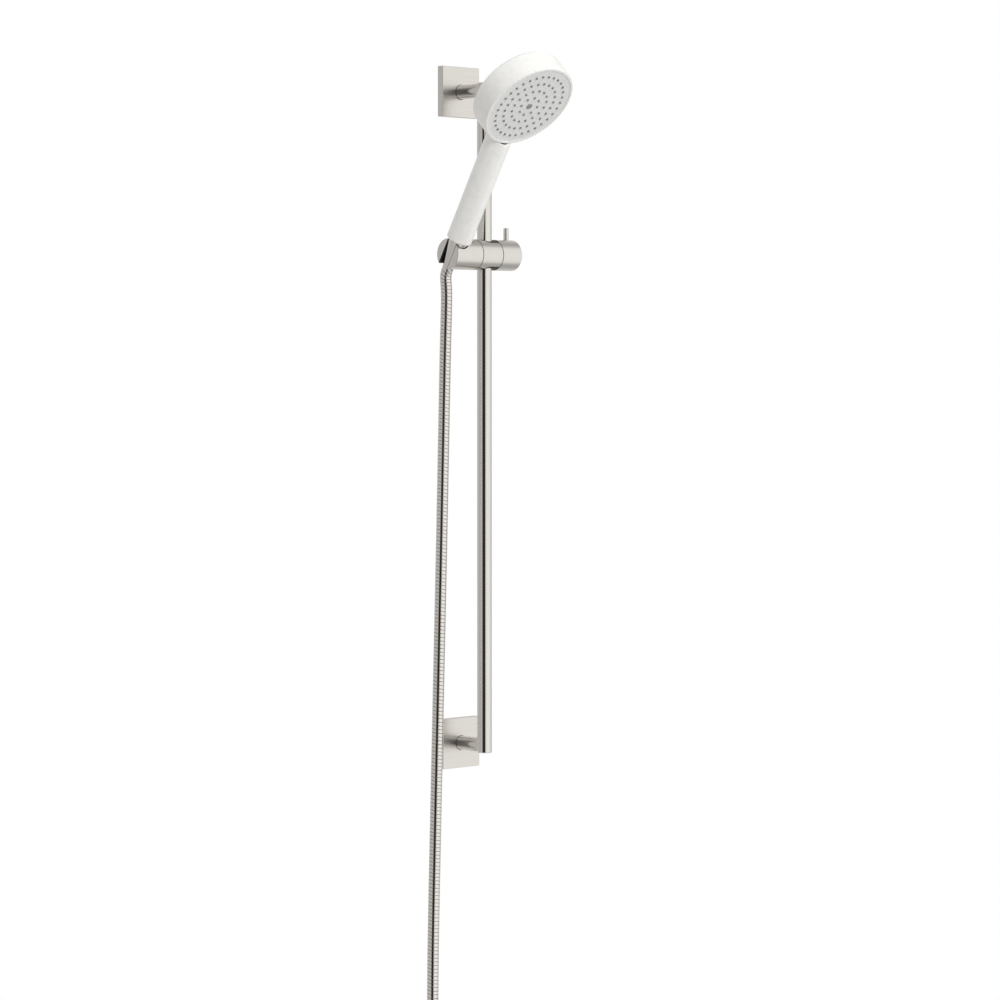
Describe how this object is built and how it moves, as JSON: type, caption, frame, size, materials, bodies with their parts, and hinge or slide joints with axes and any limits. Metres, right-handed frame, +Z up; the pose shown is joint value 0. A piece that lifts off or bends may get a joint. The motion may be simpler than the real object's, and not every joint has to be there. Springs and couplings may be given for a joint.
{
  "type": "hand shower rail set",
  "caption": "Wall-mounted slide-rail hand shower set with square wall plates, a round rail, a cylindrical clamping slider with tilting holder, a round-headed hand shower and a metal hose.",
  "frame": {"origin": "on the wall, midway between the two wall screws, on the line through them", "axes": "+Z up along the rail, +X to the right along the wall seen from the room, -Y out of the wall into the room"},
  "size_m": [0.1934, 0.2226, 1.3108],
  "materials": {
    "brushed_nickel": "brushed",
    "steel": "plain",
    "brass": "turned",
    "hose_metal": "satin",
    "white_plastic": "gloss",
    "face_plastic": "satin",
    "inner_plastic": "matte",
    "dark_plastic": "matte",
    "silicone": "matte",
    "dark_rubber": "matte",
    "tie_band": "matte"
  },
  "bodies": {
    "wall_frame": {"rail_tube": "brushed_nickel", "rail_plug_upper": "brushed_nickel", "rail_plug_lower": "brushed_nickel", "arm_upper": "brushed_nickel", "arm_lower": "brushed_nickel", "mount_base_upper": "steel", "mount_base_lower": "steel", "wall_plate_upper": "brushed_nickel", "wall_plate_lower": "brushed_nickel", "arm_screws": "steel", "grub_screws": "steel", "cover_rings": "dark_rubber"},
    "slider": {"slider_body": "brushed_nickel", "rail_liner": "dark_plastic", "gland_nut": "brass", "tilt_axle": "steel", "disc_spring": "steel", "seam_washer": "dark_plastic", "knob_washer": "dark_plastic"},
    "pad": {"clamp_pad": "dark_plastic"},
    "knob": {"clamp_knob": "brushed_nickel", "clamp_spindle": "brass", "lever_pin": "brushed_nickel"},
    "holder": {"holder_body": "brushed_nickel", "socket_liner": "dark_plastic"},
    "hose_end": {"hose_ferrule": "brass"},
    "handset": {"handset_shell": "white_plastic", "face_ring": "white_plastic", "spray_face": "face_plastic", "nozzle_mat": "silicone", "water_chamber": "inner_plastic", "face_screw": "steel", "water_tube": "inner_plastic", "inlet_spigot": "brass", "flow_limiter": "dark_plastic", "inlet_washer": "dark_rubber", "hose_nut": "brushed_nickel"},
    "hose": {"hose_tube": "hose_metal", "hose_coil": "hose_metal", "coil_tie": "tie_band", "end_sleeve": "brass"},
    "supply_nut": {"end_nut": "brushed_nickel", "end_washer": "dark_rubber"}
  },
  "joints": [
    {"name": "slider_travel", "type": "slide", "parent": "wall_frame", "child": "slider", "axis": [0, 0, 1], "range_m": [-0.57, 0.17]},
    {"name": "knob_turn", "type": "hinge", "parent": "slider", "child": "knob", "pos_m": [0, -0.05, 0.2], "axis": [1, 0, 0], "range_deg": [0, 90]},
    {"name": "pad_travel", "type": "slide", "parent": "slider", "child": "pad", "axis": [1, 0, 0], "range_m": [0, 0.0004]},
    {"name": "holder_tilt", "type": "hinge", "parent": "slider", "child": "holder", "pos_m": [0, -0.05, 0.2], "axis": [1, 0, 0], "range_deg": [-15, 35]},
    {"name": "handset_lift", "type": "slide", "parent": "holder", "child": "hose_end", "axis": [0, -0.5, 0.866], "range_m": [0, 0.038]},
    {"name": "handset_twist", "type": "hinge", "parent": "hose_end", "child": "handset", "pos_m": [-0.052, -0.05, 0.2], "axis": [0, -0.5, 0.866], "range_deg": [-90, 90]},
    {"name": "hose_swing", "type": "hinge", "parent": "hose_end", "child": "hose", "pos_m": [-0.052, -0.0405, 0.18355], "axis": [1, 0, 0], "range_deg": [-35, 15], "deforming": ["hose_tube"]},
    {"name": "supply_nut_spin", "type": "hinge", "parent": "hose", "child": "supply_nut", "pos_m": [0.003, -0.06326, -0.73], "axis": [-1, 0, 0], "continuous": true}
  ],
  "couplings": [
    {"joint": "pad_travel", "follows": "knob_turn", "m_per_rad": 0.00019894},
    {"joint": "hose_swing", "follows": "holder_tilt", "ratio": -1}
  ]
}
